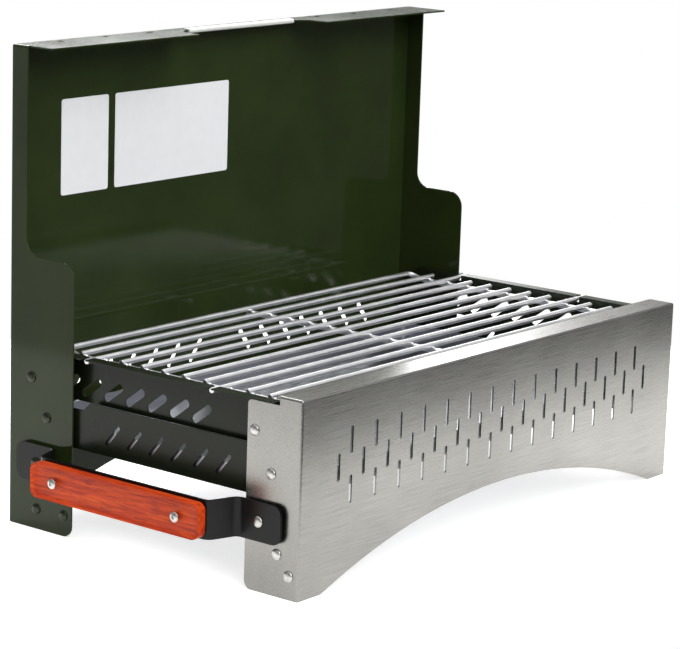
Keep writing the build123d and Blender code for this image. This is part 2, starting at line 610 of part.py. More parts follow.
# Rivets and the rings on them, one group for each pivot of the front and of the rear panel.
upper_tail = UPPER_WALL_INSET + RAIL_SHEET + SIDE_FIT
lower_tail = LOWER_WALL_INSET + RAIL_SHEET + SIDE_FIT
handle_seat = -BRACKET_GAP - BRACKET_SHEET - SIDE_FIT
hardware = []
for panel, upper, lower, handle, fixed in (
    ("front", UPPER_FRONT, LOWER_FRONT, HANDLE_FRONT, FRONT_FIXED),
    ("rear", UPPER_REAR, LOWER_REAR, HANDLE_REAR, REAR_FIXED),
):
    for group, centres, seat, tail in (
        ("upper_pivot_rivets", [upper], 0, upper_tail),
        ("lower_pivot_rivets", [lower], 0, lower_tail),
        ("handle_pivot_rivets", [handle], handle_seat, SHEET),
        ("fixed_rivets", fixed, 0, SHEET),
    ):
        with BuildPart() as rivets:
            for centre in centres:
                head = round_section(centre, seat, HEAD_RADIUS)
                shank = round_section(centre, seat, SHANK_RADIUS)
                foot = round_section(centre, tail, TAIL_RADIUS)
                extrude(head, amount=-HEAD_HEIGHT, taper=HEAD_TAPER)
                extrude(shank, amount=tail - seat)
                extrude(foot, amount=TAIL_HEIGHT)
            mirror(about=Plane.YZ)
        rivets.part.label = f"{panel}_{group}"
        hardware.append(rivets)
    for group, centre, start, end in (
        ("upper_spacers", upper, SHEET, UPPER_WALL_INSET - SIDE_FIT),
        ("lower_spacers", lower, SHEET, LOWER_WALL_INSET - SIDE_FIT),
        ("handle_washers", handle, SIDE_FIT - BRACKET_GAP, 0),
    ):
        with BuildPart() as rings:
            ring = round_section(centre, start, SPACER_RADIUS, SHANK_RADIUS + RUNNING_FIT)
            extrude(ring, amount=end - start)
            mirror(about=Plane.YZ)
        rings.part.label = f"{panel}_{group}"
        hardware.append(rings)

pieces = [
    front_panel,
    rear_panel,
    hand_edge_trim,
    small_label,
    large_label,
    grate,
    upper_side_left,
    upper_side_right,
    lower_side_left,
    lower_side_right,
    charcoal_tray,
    handle_bracket_left,
    handle_grip_left,
    grip_screws_left,
    handle_bracket_right,
    handle_grip_right,
    grip_screws_right,
] + hardware

for piece in pieces:
    export_step(piece.part, f"parts/{piece.part.label}.step")
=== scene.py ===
import math

import bmesh
import bpy
import numpy as np
from mathutils import Matrix, Vector


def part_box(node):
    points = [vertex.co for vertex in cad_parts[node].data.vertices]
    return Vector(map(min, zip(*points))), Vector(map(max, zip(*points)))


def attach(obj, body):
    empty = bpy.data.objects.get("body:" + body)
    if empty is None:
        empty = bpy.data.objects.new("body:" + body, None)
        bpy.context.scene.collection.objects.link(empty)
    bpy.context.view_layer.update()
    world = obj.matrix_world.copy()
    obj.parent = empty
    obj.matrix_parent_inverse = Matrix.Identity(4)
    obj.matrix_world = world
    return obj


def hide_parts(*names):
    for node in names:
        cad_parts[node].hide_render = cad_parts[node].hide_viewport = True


bl_info = {
    "name": "Folding charcoal grill",
    "version": (1, 0, 0),
    "blender": (4, 5, 0),
    "location": "3D View > Sidebar > Grill",
    "description": "Dresses the packed frame of a folding charcoal grill",
    "category": "Add Mesh",
}

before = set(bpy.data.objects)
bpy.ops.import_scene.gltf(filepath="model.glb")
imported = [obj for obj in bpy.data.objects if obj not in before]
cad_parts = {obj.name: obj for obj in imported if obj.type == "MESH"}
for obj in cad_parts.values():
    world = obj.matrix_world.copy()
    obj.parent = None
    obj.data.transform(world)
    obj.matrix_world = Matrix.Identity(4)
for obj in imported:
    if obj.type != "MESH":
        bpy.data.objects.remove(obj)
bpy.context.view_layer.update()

MM = 0.001
IMAGE = (680, 649)            # width and height of the picture in pixels

# Fineness of the round shapes.
FASTENER_TURNS = 40           # points round a fastener
WIRE_TURNS = 20               # points round a wire of the grate
BORE_TURNS = 24               # points round a pivot hole
WELD_TURNS = 12
WELD_RINGS = 7
DOME_STEPS = 9
BEND_STEPS = 8
SLOT_STEPS = 9
BAR_STEPS = 9                 # points along a bar of the grate
GRIP_RINGS = 7                # outlines over one edge of a grip
GRIP_TURNS = 10               # points round one corner of a grip
NEAR_AXIS = 0.02              # radius at which a turned face ends, so that no points fall together
POLE = 0.02                   # angle in radians at which a weld bead ends, for the same reason
SHARP_ANGLE = 32.0            # degrees above which an edge stays sharp

# The named sizes of the pieces are in millimetres and their angles in degrees.

# Cooking grate. The frame is the two outer wires and the rear bar, bent from one wire.
WIRE_RADIUS = 2.0
WIRE_BEVEL = 0.5
BAR_PITCH = 19.15
BAR_COUNT = 10                # bars in front of the rear one
LONG_BARS = (2, 8)            # bars that rest in the notches of the upper rails
LONG_HALF = 220.0             # half a long bar
SHORT_HALF = 205.0            # half a short bar
BAR_TO_BACK = 4.0             # middle of the rear bar to the back of the grate
FRAME_HALF = 200.0            # middle of the grate to its outer wires
FRAME_TAIL = 4.0              # the wires reach this far past the first bar and the rear bar
FRAME_RISE = 12.0             # length over which the outer wires rise to the rear bar
FRAME_BEND = 6.0
WELD_HALF_HEIGHT = 1.0

# Upper side rails.
RAIL_SHEET = 1.0
RAIL_CORNER = 5.0
RAIL_PIVOTS = ((-93.5, 109.5), (111.5, 109.5))    # Y and Z of the front and of the rear one
LIP_END = 106.5               # Y of the lip's rear end
LIP_TO_TAIL = 12.0            # top of the lip down to the top of the wall's rear end
TURNED_END = 5.0              # height of the lip's turned front end
NOTCH_HALF = 2.4              # half the width of a notch for a long bar
NOTCH_FLOOR = 125.45
SLOT_FIRST = 55.1             # front pivot to the first slot, as measured in the photograph
SLOT_PITCH = 20.3
SLOT_COUNT = 7
SLOT_HEIGHT = 108.25
SLOT_LENGTH = 20.8
SLOT_WIDTH = 6.0
SLOT_ANGLE = -37.0            # from level

# Handle brackets.
BRACKET_SHEET = 2.0
BRACKET_BEND = 4.5
ARM_LEAN = 7.0                # over an arm's reach, as measured on the front left one
TAB_END = 19.0                # pivot to the end of the tab
TAB_ROOT = 17.5               # pivot to the root of the tab
TAB_CORNER = 8.0
TAB_OVERLAP = 4.0             # the folded strip reaches this far over the tab
ROOT_TO_ARM = 1.0

# Grips. The inset at each end takes the solids' 160 mm to the 154 mm of the photograph.
GRIP_INSET = np.array([0.0, 3.0, 0.25])
GRIP_CORNER = 6.0

# Fasteners. A place along X is counted outwards from the outer face of the side flanges.
PANEL_EDGE = 225.0            # middle of the grill to that face
FLANGE_INSIDE = -1.2
UPPER_WALL = (-9.9, -11.1)    # outer and inner side of an upper rail's wall, with its play
LOWER_WALL = (-3.9, -5.1)     # the same of a lower rail
TAB = (2.0, 4.2)              # inner and outer side of a bracket's tab, with its play
NUT = (20.4, 24.0)            # inner end of the nut, and inner side of the bracket behind the grip
GRIP_FACE = 35.0
HEAD_RADIUS = 3.9
HEAD_HEIGHT = 1.8
HEAD_RIM = 0.35
SHANK_RADIUS = 2.0
FOOT_RADIUS = 3.0
FOOT_HEIGHT = 0.6
FOOT_EDGE = 0.2
RING_RADIUS = 3.5
RING_BORE = 2.08
RING_BAND = 0.25              # outer band of a ring's face, which keeps its shading flat
NUT_RADIUS = 3.2
NUT_BAND = 1.4
SCREW_SHANK_RADIUS = 1.9
SCREW_HEAD_RADIUS = 3.6
SCREW_HEAD_HEIGHT = 1.2
SCREW_HEAD_RIM = 0.3
SOCKET_RADIUS = 1.3
SOCKET_FLOOR = 0.5            # above the grip's face
SOCKET_EDGE = 1.32            # above the grip's face
SCREW_INSET = 1.2             # the solids' screws lie this much too far out

# Seat of the head and seat of the foot of each group of rivets, and both ends of each ring.
RIVETS = {"upper_pivot": (0.0, UPPER_WALL[1]), "lower_pivot": (0.0, LOWER_WALL[1]),
          "handle_pivot": (TAB[1], FLANGE_INSIDE), "fixed": (0.0, FLANGE_INSIDE)}
RINGS = {"upper_spacers": (FLANGE_INSIDE, UPPER_WALL[0]),
         "lower_spacers": (FLANGE_INSIDE, LOWER_WALL[0]), "handle_washers": (TAB[0], 0.0)}


def linear(hex_colour):
    """Linear RGBA of an sRGB hex colour."""
    channels = [int(hex_colour[i:i + 2], 16) / 255 for i in (0, 2, 4)]
    return [c / 12.92 if c <= 0.04045 else ((c + 0.055) / 1.055) ** 2.4 for c in channels] + [1.0]


def grains(size):
    """Scale of a pattern whose grains are size millimetres wide."""
    return 1 / (size * MM)


def fill(tree, node, values, links):
    """Sets a node's values and links its other inputs to sockets, or to nodes by their first
    output."""
    for name, value in values.items():
        node.inputs[name].default_value = value
    for name, source in links.items():
        socket = source.outputs[0] if hasattr(source, "outputs") else source
        tree.links.new(socket, node.inputs[name])


def add(tree, kind, values=None, links=None, stops=(), **settings):
    """Adds a node with its settings, values, links and, on a colour ramp, its stops as place and
    linear colour, and returns it."""
    node = tree.nodes.new(kind)
    for name, value in settings.items():
        setattr(node, name, value)
    fill(tree, node, values or {}, links or {})
    for number, (place, colour) in enumerate(stops):
        elements = node.color_ramp.elements
        stop = elements[number] if number < 2 else elements.new(place)
        stop.position = place
        stop.color = colour
    return node


def material(name):
    """An empty material, its tree, its shader and the object's own coordinates."""
    made = bpy.data.materials.new(name)
    made.use_nodes = True
    tree = made.node_tree
    place = add(tree, "ShaderNodeTexCoord").outputs["Object"]
    return made, tree, tree.nodes["Principled BSDF"], place


def brushed_steel(name, light, dark, smooth, rough):
    """Stainless sheet brushed along X with a fine belt: long thin streaks, and soft clouding
    where hands and the belt have passed. Real streaks are 0.1 mm apart. They are drawn at 0.5 mm
    and about 40 mm long, because finer ones don't show."""
    made, tree, shader, place = material(name)
    along = add(tree, "ShaderNodeMapping", {"Scale": (0.012, 1.0, 1.0)}, {"Vector": place})
    streaks = add(tree, "ShaderNodeTexNoise",
                  {"Scale": grains(0.5), "Detail": 4.0, "Roughness": 0.6}, {"Vector": along})
    clouds = add(tree, "ShaderNodeTexNoise",
                 {"Scale": grains(91.0), "Detail": 3.0, "Roughness": 0.5}, {"Vector": place})
    mixed = add(tree, "ShaderNodeMix", {"Factor": 0.35}, {2: streaks, 3: clouds},
                data_type="FLOAT")
    fill(tree, shader, {"Metallic": 1.0}, {
        "Base Color": add(tree, "ShaderNodeValToRGB", links={"Fac": mixed},
                          stops=((0.25, dark), (0.75, light))),
        "Roughness": add(tree, "ShaderNodeMapRange", {"To Min": smooth, "To Max": rough},
                         {"Value": streaks}),
        "Normal": add(tree, "ShaderNodeBump", {"Strength": 0.35, "Distance": 0.04 * MM},
                      {"Height": streaks})})
    return made


def powder_coat(name, dark, light, smooth, rough):
    """Powder coat baked on steel: an even dark coat with the faint orange peel of the powder,
    about 1 mm wide, and a slightly uneven gloss in patches as wide as a finger is long."""
    made, tree, shader, place = material(name)
    peel = add(tree, "ShaderNodeTexNoise",
               {"Scale": grains(1.11), "Detail": 2.0, "Roughness": 0.5}, {"Vector": place})
    patches = add(tree, "ShaderNodeTexNoise",
                  {"Scale": grains(71.4), "Detail": 4.0, "Roughness": 0.6}, {"Vector": place})
    fill(tree, shader, {"IOR": 1.3}, {
        "Base Color": add(tree, "ShaderNodeValToRGB", links={"Fac": patches},
                          stops=((0.3, dark), (0.75, light))),
        "Roughness": add(tree, "ShaderNodeMapRange", {"To Min": smooth, "To Max": rough},
                         {"Value": patches}),
        "Normal": add(tree, "ShaderNodeBump", {"Strength": 0.25, "Distance": 0.03 * MM},
                      {"Height": peel})})
    return made


def plated_wire():
    """Chromed steel wire: bright, with slightly duller patches, about 17 mm long, where the
    plating is thin."""
    made, tree, shader, place = material("chrome_plated_wire")
    patches = add(tree, "ShaderNodeTexNoise",
                  {"Scale": grains(16.7), "Detail": 4.0, "Roughness": 0.6}, {"Vector": place})
    fill(tree, shader, {"Metallic": 1.0}, {
        "Base Color": add(tree, "ShaderNodeValToRGB", links={"Fac": patches},
                          stops=((0.3, linear("e4e5e8")), (0.7, linear("fafafa")))),
        "Roughness": add(tree, "ShaderNodeMapRange", {"To Min": 0.3, "To Max": 0.45},
                         {"Value": patches})})
    return made


def headed_steel(name, dark, light, smooth, rough):
    """Cold headed steel of a rivet or screw: smooth, with faint marks of the heading tool, about
    1.5 mm wide."""
    made, tree, shader, place = material(name)
    marks = add(tree, "ShaderNodeTexNoise",
                {"Scale": grains(1.43), "Detail": 3.0, "Roughness": 0.5}, {"Vector": place})
    fill(tree, shader, {"Metallic": 1.0}, {
        "Base Color": add(tree, "ShaderNodeValToRGB", links={"Fac": marks},
                          stops=((0.35, dark), (0.7, light))),
        "Roughness": add(tree, "ShaderNodeMapRange", {"To Min": smooth, "To Max": rough},
                         {"Value": marks})})
    return made


def stained_wood(stain):
    """Hardwood stained orange red and oiled. The grain lines lie about 2.4 mm apart and run along
    the grip, bent a little by waves seven times as wide, with short dark pores between them."""
    made, tree, shader, place = material("stained_hardwood")
    wave_way = add(tree, "ShaderNodeMapping", {"Scale": (1.0, 0.1, 1.0)}, {"Vector": place})
    waves = add(tree, "ShaderNodeTexNoise",
                {"Scale": grains(16.7), "Detail": 2.0, "Roughness": 0.5}, {"Vector": wave_way})
    bent = add(tree, "ShaderNodeMix", {"Factor": 0.02}, {4: place, 5: waves}, data_type="VECTOR")
    grain_way = add(tree, "ShaderNodeMapping", {"Scale": (1.0, 0.05, 1.0)},
                    {"Vector": bent.outputs[1]})
    grain = add(tree, "ShaderNodeTexNoise",
                {"Scale": grains(2.38), "Detail": 5.0, "Roughness": 0.6}, {"Vector": grain_way})
    pore_way = add(tree, "ShaderNodeMapping", {"Scale": (1.0, 0.045, 1.0)}, {"Vector": place})
    pores = add(tree, "ShaderNodeTexNoise",
                {"Scale": grains(0.667), "Detail": 2.0, "Roughness": 0.5}, {"Vector": pore_way})
    colour = add(tree, "ShaderNodeValToRGB", links={"Fac": grain},
                 stops=((0.32, linear("a02402")), (0.5, stain), (0.68, linear("da540a"))))
    holes = add(tree, "ShaderNodeValToRGB", links={"Fac": pores},
                stops=((0.36, linear("5a1606")), (0.46, linear("ffffff"))))
    both = add(tree, "ShaderNodeMix", {"Factor": 0.55}, {6: colour, 7: holes}, data_type="RGBA",
               blend_type="MULTIPLY")
    fill(tree, shader, {"IOR": 1.38}, {
        "Base Color": both.outputs[2],
        "Roughness": add(tree, "ShaderNodeMapRange", {"To Min": 0.55, "To Max": 0.42},
                         {"Value": grain}),
        "Normal": add(tree, "ShaderNodeBump", {"Strength": 0.4, "Distance": 0.12 * MM},
                      {"Height": grain})})
    return made


def satin_paper():
    """Coated white paper label, bare, with the faint cloudiness of the paper under its film."""
    made, tree, shader, place = material("coated_paper_label")
    cloud = add(tree, "ShaderNodeTexNoise",
                {"Scale": grains(8.33), "Detail": 3.0, "Roughness": 0.5}, {"Vector": place})
    fill(tree, shader, {"IOR": 1.5}, {
        "Base Color": add(tree, "ShaderNodeValToRGB", links={"Fac": cloud},
                          stops=((0.3, linear("f3f5f7")), (0.7, linear("f6f8fa")))),
        "Roughness": add(tree, "ShaderNodeMapRange", {"To Min": 0.42, "To Max": 0.5},
                         {"Value": cloud})})
    return made


def pale_vinyl():
    """Pale extruded vinyl of the edge trim, satin, with faint lines about 1 mm apart along it."""
    made, tree, shader, place = material("extruded_vinyl_trim")
    along = add(tree, "ShaderNodeMapping", {"Scale": (0.02, 1.0, 1.0)}, {"Vector": place})
    lines = add(tree, "ShaderNodeTexNoise",
                {"Scale": grains(1.11), "Detail": 2.0, "Roughness": 0.5}, {"Vector": along})
    fill(tree, shader, {"IOR": 1.5}, {
        "Base Color": add(tree, "ShaderNodeValToRGB", links={"Fac": lines},
                          stops=((0.3, linear("d0d2ce")), (0.7, linear("e4e6e2")))),
        "Roughness": add(tree, "ShaderNodeMapRange", {"To Min": 0.3, "To Max": 0.4},
                         {"Value": lines})})
    return made


def surface(grid, caps=False):
    """Points and faces of a grid of points whose rows close on themselves. Quads join
    neighbouring points, and caps fill the first and the last row."""
    rows, columns = grid.shape[:2]
    row = np.arange(rows - 1)[:, None] * columns
    here = np.arange(columns)[None, :]
    after = (here + 1) % columns
    quads = np.stack([row + here, row + after, row + columns + after, row + columns + here],
                     axis=-1).reshape(-1, 4)
    faces = quads.tolist()
    if caps:
        faces.append(np.arange(columns)[::-1].tolist())
        faces.append((np.arange(columns) + (rows - 1) * columns).tolist())
    return grid.reshape(-1, 3) * MM, faces


def dress(node, word, parts, made, body):
    """Makes one object of several point and face sets, named for its frame node and one word
    more, gives it its material and smooth shading, and puts it on its body in place of the
    node."""
    name = node + "_" + word
    faces = []
    start = 0
    for points, part_faces in parts:
        faces += [[index + start for index in face] for face in part_faces]
        start += len(points)
    mesh = bpy.data.meshes.new(name)
    mesh.from_pydata(np.concatenate([points for points, _ in parts]).tolist(), [], faces)
    mesh.validate()
    mesh.update()
    mesh.materials.append(made)
    mesh.shade_smooth()
    mesh.set_sharp_from_angle(angle=math.radians(SHARP_ANGLE))
    obj = bpy.data.objects.new(name, mesh)
    bpy.context.scene.collection.objects.link(obj)
    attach(obj, body)
    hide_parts(node)


def turned(profile, centre, side):
    """Surface of revolution about a level axis along X. Each profile point (x, r) turns round the
    centre (y, z): the point is x outwards from the flange, and r cos t, r sin t round the axis.
    side is -1 for the left flange and 1 for the right one."""
    profile = np.array(profile, float)
    turn = np.linspace(0, 2 * math.pi, FASTENER_TURNS, endpoint=False)
    x = np.broadcast_to(side * (PANEL_EDGE + profile[:, :1]), (len(profile), FASTENER_TURNS))
    y = centre[0] + profile[:, 1:] * np.cos(turn)[None, :]
    z = centre[1] + side * -profile[:, 1:] * np.sin(turn)[None, :]
    return surface(np.stack([x, y, z], axis=-1))


def dome(radius, height, rim, base):
    """Profile of a domed head on a seat at base: an upright rim, then a quarter of an ellipse that
    rises by the rest of the height towards the axis."""
    angle = np.linspace(0, math.pi / 2, DOME_STEPS)
    rise = base + rim + (height - rim) * np.sin(angle)
    across = radius * np.cos(angle)
    across[-1] = NEAR_AXIS
    return [(base, radius)] + list(zip(rise, across))


def rod(path):
    """Round wire along a path of points: each ring is radius (n cos t + b sin t) round its point,
    where n and b are square to the path, and the ends close with a small bevel."""
    path = np.array(path, float)
    way = np.gradient(path, axis=0)
    way /= np.linalg.norm(way, axis=1, keepdims=True)
    first = np.cross(way, np.array([0.0, 0.0, 1.0]))
    first /= np.linalg.norm(first, axis=1, keepdims=True)
    second = np.cross(first, way)
    path = np.concatenate([path[:1], path[:1] + way[:1] * WIRE_BEVEL, path[1:-1],
                           path[-1:] - way[-1:] * WIRE_BEVEL, path[-1:]])
    first = np.concatenate([first[:1], first, first[-1:]])
    second = np.concatenate([second[:1], second, second[-1:]])
    size = np.full(len(path), WIRE_RADIUS)
    size[[0, -1]] -= WIRE_BEVEL
    turn = np.linspace(0, 2 * math.pi, WIRE_TURNS, endpoint=False)
    ring = (first[:, None, :] * np.cos(turn)[None, :, None]
            + second[:, None, :] * np.sin(turn)[None, :, None])
    grid = path[:, None, :] + ring * size[:, None, None]
    return surface(grid[:, ::-1], caps=True)


def rounded_path(corners, radius):
    """Path through corners whose turns are arcs: between the two tangent points the arc is a
    blend of (1 - t)^2 a + 2 t (1 - t) corner + t^2 b."""
    corners = np.array(corners, float)
    t = np.linspace(0, 1, BEND_STEPS)[:, None]
    out = [corners[:1]]
    for before, corner, after in zip(corners, corners[1:], corners[2:]):
        back = before - corner
        ahead = after - corner
        a = corner + back / np.linalg.norm(back) * radius
        b = corner + ahead / np.linalg.norm(ahead) * radius
        out.append((1 - t) ** 2 * a + 2 * t * (1 - t) * corner + t ** 2 * b)
    return np.concatenate(out + [corners[-1:]])


def bore(centre):
    """Circle of a pivot hole in the Y and Z plane."""
    turn = np.linspace(0, 2 * math.pi, BORE_TURNS, endpoint=False)
    return np.array(centre) + RING_BORE * np.column_stack([np.cos(turn), np.sin(turn)])


def rail_slot(centre):
    """Slot with round ends in the Y and Z plane, turned from level by its angle: two half circles
    whose middles lie (length - width) / 2 on either side of the centre."""
    turn = np.linspace(-math.pi / 2, math.pi / 2, SLOT_STEPS)
    end = np.column_stack([np.cos(turn), np.sin(turn)]) * SLOT_WIDTH / 2
    end += [(SLOT_LENGTH - SLOT_WIDTH) / 2, 0]
    c, s = math.cos(math.radians(SLOT_ANGLE)), math.sin(math.radians(SLOT_ANGLE))
    return np.array(centre) + np.concatenate([end, -end]) @ np.array([[c, s], [-s, c]])


def span(side, near, far):
    """Lower and higher X of two distances from the middle on one side of the grill."""
    return sorted((side * near, side * far))


def plate(outline, holes, xs):
    """Flat sheet between two planes across X: an outline in the Y and Z plane, less its holes."""
    curve = bpy.data.curves.new("plate", "CURVE")
    curve.dimensions = "2D"
    curve.fill_mode = "BOTH"
    curve.extrude = (xs[1] - xs[0]) / 2
    for loop in [outline] + holes:
        spline = curve.splines.new("POLY")
        spline.points.add(len(loop) - 1)
        flat = np.column_stack([loop, np.zeros(len(loop)), np.ones(len(loop))])
        spline.points.foreach_set("co", flat.ravel())
        spline.use_cyclic_u = True
    holder = bpy.data.objects.new("plate", curve)
    mesh = bpy.data.meshes.new_from_object(holder)
    work = bmesh.new()
    work.from_mesh(mesh)
    bmesh.ops.remove_doubles(work, verts=work.verts, dist=MM)
    bmesh.ops.recalc_face_normals(work, faces=work.faces)
    work.to_mesh(mesh)
    work.free()
    points = np.empty((len(mesh.vertices), 3), np.float32)
    mesh.vertices.foreach_get("co", points.ravel())
    faces = [list(face.vertices) for face in mesh.polygons]
    bpy.data.meshes.remove(mesh)
    bpy.data.objects.remove(holder)
    bpy.data.curves.remove(curve)
    return (points[:, [2, 0, 1]] + [(xs[1] + xs[0]) / 2, 0, 0]) * MM, faces


def brick(xs, ys, zs):
    """Plain length of sheet between two places along each axis."""
    corners = [(ys[0], zs[0]), (ys[1], zs[0]), (ys[1], zs[1]), (ys[0], zs[1])]
    return plate(np.array(corners, float), [], xs)


def folded_strip(line, z_low, z_high, side):
    """Bracket sheet folded along a line in the X and Y plane and upright in Z. Its two faces lie
    half the sheet on either side of the line, along the line's own normal."""
    way = np.gradient(line, axis=0)
    way /= np.linalg.norm(way, axis=1, keepdims=True)
    across = np.column_stack([way[:, 1], -way[:, 0]]) * BRACKET_SHEET / 2
    rings = []
    for offset, z in ((across, z_low), (across, z_high), (-across, z_high), (-across, z_low)):
        points = line + offset
        rings.append(np.column_stack([side * points[:, 0], points[:, 1], np.full(len(line), z)]))
    grid = np.stack(rings, axis=1)
    return surface(grid[:, ::-1] if side < 0 else grid, caps=True)


def weld(centre, size):
    """Small weld bead: an ellipsoid of the given half sizes round its centre."""
    u = np.linspace(POLE, math.pi - POLE, WELD_RINGS)[:, None]
    v = np.linspace(0, 2 * math.pi, WELD_TURNS, endpoint=False)[None, :]
    x = centre[0] + size[0] * np.sin(u) * np.cos(v)
    y = centre[1] + size[1] * np.sin(u) * np.sin(v)
    z = centre[2] + size[2] * np.cos(u) * np.ones_like(v)
    return surface(np.stack([x, y, z], axis=-1), caps=True)


def rounded_bar(low, high, edge, side):
    """Grip of wood: rounded rectangles in the Y and Z plane, stacked along X. At high X the
    outline draws in by edge (1 - cos t) while x moves outwards by edge sin t, which rounds the
    edge. At low X the outline draws in while x moves inwards, so that face is dished by edge."""
    t = np.linspace(0, math.pi / 2, GRIP_RINGS)
    x = np.concatenate([low[0] + edge * (1 - np.sin(t)), high[0] - edge * (1 - np.sin(t))])
    inset = np.concatenate([edge * (1 - np.cos(t))[::-1], edge * (1 - np.cos(t))])
    angle = np.linspace(0, 2 * math.pi, 4, endpoint=False)[:, None]
    angle = (angle + np.linspace(0, math.pi / 2, GRIP_TURNS)).ravel()
    arcs = np.column_stack([np.cos(angle), np.sin(angle)])
    signs = np.repeat([[1, 1], [-1, 1], [-1, -1], [1, -1]], GRIP_TURNS, axis=0)
    middle = (high[1:] + low[1:]) / 2
    half = (high[1:] - low[1:]) / 2
    outline = middle + signs * (half - GRIP_CORNER)
    outlines = outline + arcs * (GRIP_CORNER - inset)[:, None, None]
    xs = np.broadcast_to(x[:, None, None], outlines.shape[:2] + (1,))
    grid = np.concatenate([xs, outlines], axis=-1)
    return surface(grid[:, ::-1] if side > 0 else grid, caps=True)


def node_box(node):
    """Lowest and highest corner of a frame node, in millimetres."""
    low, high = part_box(node)
    return np.array(low) / MM, np.array(high) / MM


def middle_of(node):
    """Y and Z of the middle of a frame node whose solids share one axis, in millimetres."""
    low, high = node_box(node)
    return (low[1] + high[1]) / 2, (low[2] + high[2]) / 2


def bar_places():
    """Y of the bars of the grate in front of its rear bar, and Y of the rear bar."""
    back = node_box("grate")[1][1] - BAR_TO_BACK
    return [back - (BAR_COUNT - number) * BAR_PITCH for number in range(BAR_COUNT)], back


def paint(nodes, made):
    """Puts a material in every slot of the named frame nodes."""
    for name in nodes:
        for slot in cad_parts[name].material_slots:
            slot.material = made


class GrillSettings(bpy.types.PropertyGroup):
    """Sizes and colours that a user may change."""

    panel_green: bpy.props.FloatVectorProperty(
        name="Panel green", description="Darker tone of the rear panel's coat",
        default=linear("232d14"), size=4, min=0.0, max=1.0, subtype="COLOR")
    wood_stain: bpy.props.FloatVectorProperty(
        name="Wood stain", description="Middle tone of the grips",
        default=linear("c63c04"), size=4, min=0.0, max=1.0, subtype="COLOR")
    weld_width: bpy.props.FloatProperty(
        name="Weld width", description="Half length of a weld bead of the grate", default=1.9 * MM,
        min=0.5 * MM, max=4 * MM, unit="LENGTH")
    grip_edge: bpy.props.FloatProperty(
        name="Grip edge", description="Rounding of the grip's long edges", default=2.6 * MM,
        min=0.5 * MM, max=4 * MM, unit="LENGTH")
    floor_level: bpy.props.FloatProperty(
        name="Floor glow", description="Strength of the floor's glow in the camera's view",
        default=1.0, min=0.0, max=1.0, subtype="FACTOR")


class GRILL_OT_panels(bpy.types.Operator):
    """Gives the panels, the tray, the labels and the edge trim their finishes"""

    bl_idname = "grill.panels"
    bl_label = "Panels and tray"

    def execute(self, context):
        paint(["front_panel"], brushed_steel("brushed_stainless_sheet", linear("a5a4a0"),
                                             linear("767572"), 0.22, 0.34))
        paint(["rear_panel"], powder_coat("dark_green_powder_coat",
                                          context.scene.grill_settings.panel_green,
                                          linear("2d391b"), 0.06, 0.12))
        paint(["charcoal_tray"], brushed_steel("bright_tray_steel", linear("c4c6cc"),
                                               linear("9a9ca4"), 0.3, 0.44))
        paint(["small_label", "large_label"], satin_paper())
        paint(["hand_edge_trim"], pale_vinyl())
        return {"FINISHED"}


class GRILL_OT_rails(bpy.types.Operator):
    """Coats the side rails, and makes the upper ones with their slots where the photograph has
    them: a wall, a lip with notches for the long bars, and a turned end"""

    bl_idname = "grill.rails"
    bl_label = "Side rails"

    def execute(self, context):
        # The rails carry the rear panel's green paint. These colours are darker than the panel's
        # and paint in the shade that falls on the rails.
        green = powder_coat("rail_green_with_painted_shade", linear("151a0e"), linear("1b2112"), 0.2, 0.32)
        paint(["lower_side_left", "lower_side_right"], green)
        bar_ys, _ = bar_places()
        long_ys = [bar_ys[number] for number in LONG_BARS]
        for node, side in (("upper_side_left", -1), ("upper_side_right", 1)):
            low, high = node_box(node)
            inner, outer = sorted((abs(low[0]), abs(high[0])))
            lip = (high[2] - RAIL_SHEET, high[2])
            parts = [plate(self.outline(low, high, lip[0], long_ys), self.holes(),
                           span(side, inner, inner + RAIL_SHEET))]
            ends = [low[1] + RAIL_SHEET]
            for y in long_ys:
                ends += [y - NOTCH_HALF, y + NOTCH_HALF]
            ends.append(LIP_END)
            for start, end in zip(ends[::2], ends[1::2]):
                parts.append(brick(span(side, inner, outer), (start, end), lip))
            parts.append(brick(span(side, inner + RAIL_SHEET, outer),
                               (low[1], low[1] + RAIL_SHEET), (high[2] - TURNED_END, high[2])))
            dress(node, "slotted", parts, green, "grate_links")
        return {"FINISHED"}

    def outline(self, low, high, top, long_ys):
        """Outline of the wall: rounded corners, and a notch for each long bar in the top."""
        rear_top = high[2] - LIP_TO_TAIL
        corners = [(LIP_END, top), (high[1], rear_top), (high[1], low[2]), (low[1], low[2]),
                   (low[1], top)]
        notches = []
        for y in long_ys:
            notches += [(y - NOTCH_HALF, top), (y - NOTCH_HALF, NOTCH_FLOOR),
                        (y + NOTCH_HALF, NOTCH_FLOOR), (y + NOTCH_HALF, top)]
        return np.concatenate([rounded_path(corners, RAIL_CORNER), np.array(notches)])

    def holes(self):
        """The two pivot holes and the row of slots."""
        first = RAIL_PIVOTS[0][0] + SLOT_FIRST
        return [bore(pivot) for pivot in RAIL_PIVOTS] + [
            rail_slot((first + SLOT_PITCH * number, SLOT_HEIGHT)) for number in range(SLOT_COUNT)]


